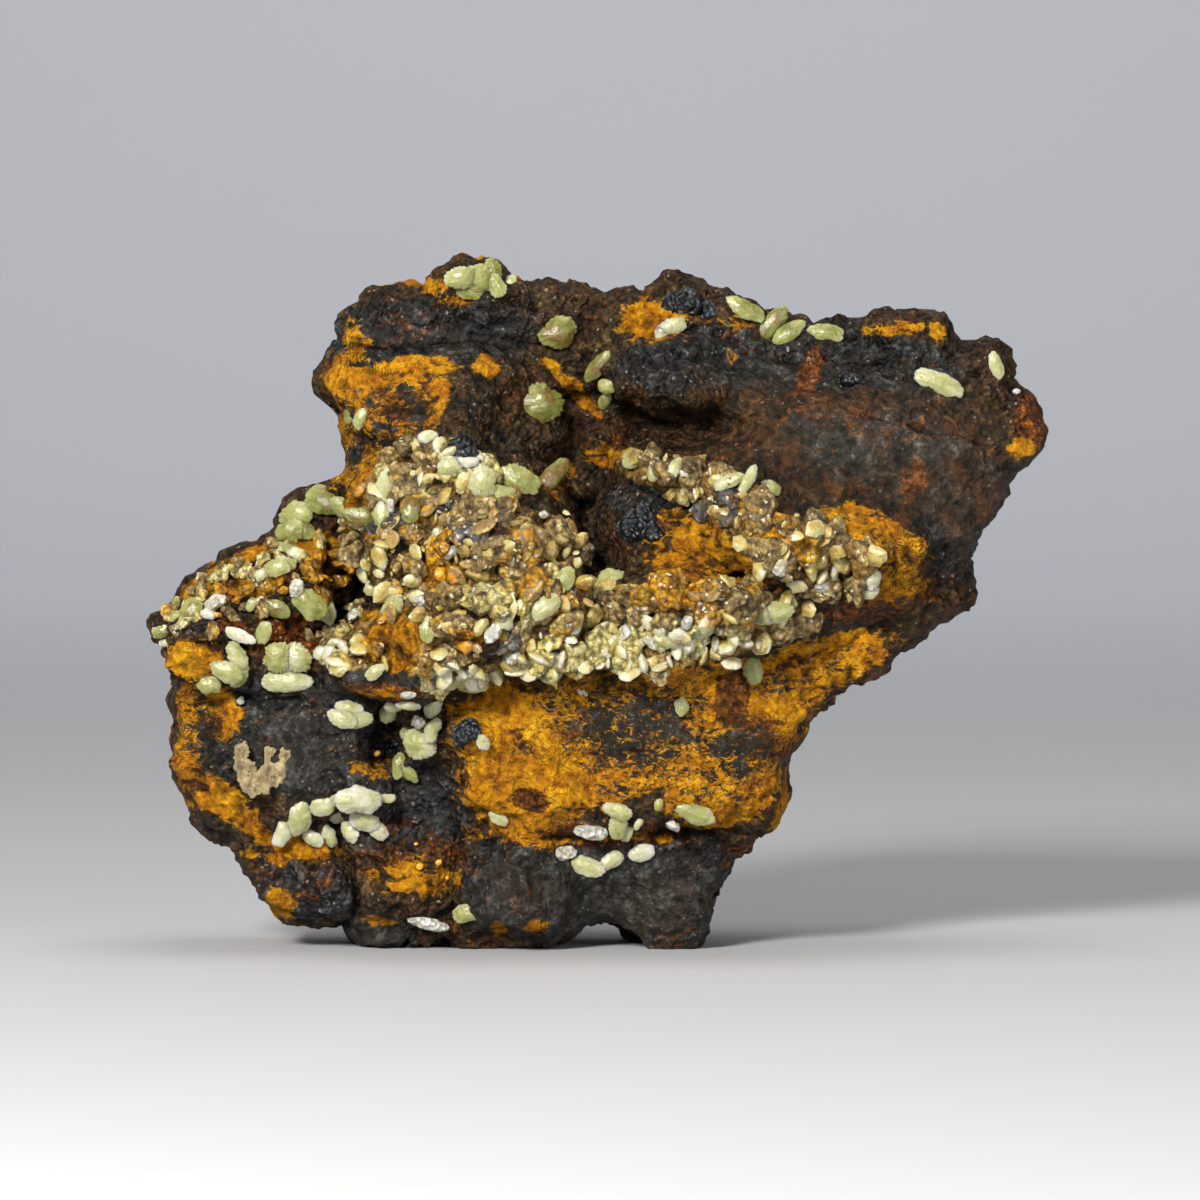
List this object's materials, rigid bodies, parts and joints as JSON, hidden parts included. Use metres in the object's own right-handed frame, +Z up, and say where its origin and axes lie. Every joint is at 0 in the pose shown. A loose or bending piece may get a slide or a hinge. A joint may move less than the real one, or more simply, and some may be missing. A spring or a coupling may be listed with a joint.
{
  "type": "mineral specimen",
  "caption": "Natural mineral specimen: a broken block of brown and ochre limonite that carries pale green lens-shaped cerussite crystals and a sparkling druse crust.",
  "frame": {"origin": "on the ground plane, under the middle of the specimen's bounding box", "axes": "+X along the specimen's long side, to the right as seen from the pictured face; -Y out of the pictured face; +Z up"},
  "size_m": [0.0888, 0.0438, 0.0691],
  "materials": {
    "limonite": "matt, rough and earthy",
    "druse": "glittering small crystal faces",
    "cerussite": "glossy and translucent"
  },
  "bodies": {
    "root": {"base_bar": "cerussite", "base_plate": "cerussite", "beige_crown": "cerussite", "cavern_grains": "cerussite", "cavern_lens": "cerussite", "cream_clump": "cerussite", "druse_crust": "druse", "edge_lens": "cerussite", "fan_foot": "cerussite", "fan_plate": "cerussite", "foot_fan": "cerussite", "foot_row": "cerussite", "foot_whites": "cerussite", "hole_pair": "cerussite", "hole_scallop": "cerussite", "large_spindle": "cerussite", "limonite_matrix": "limonite", "long_lens": "cerussite", "lower_cluster": "cerussite", "lower_grains": "cerussite", "notch_pair": "cerussite", "ochre_lens": "cerussite", "peak_cluster": "cerussite", "peak_grain": "cerussite", "ridge_dome": "cerussite", "ridge_plate": "cerussite", "ridge_spindles": "cerussite", "rim_cluster": "cerussite", "rim_lenses": "cerussite", "rosette": "cerussite", "round_disc": "cerussite", "shadow_lens": "cerussite", "shelf_block": "cerussite", "shelf_lens": "cerussite", "shelf_plates": "cerussite", "silver_lens": "cerussite", "slope_disc": "cerussite", "slope_lens": "cerussite", "slope_plate": "cerussite", "slope_white": "cerussite", "upright_lens": "cerussite", "white_dome": "cerussite", "wing_clump": "cerussite", "wing_grain": "cerussite", "wing_plates": "cerussite", "wing_whites": "cerussite"}
  },
  "joints": []
}
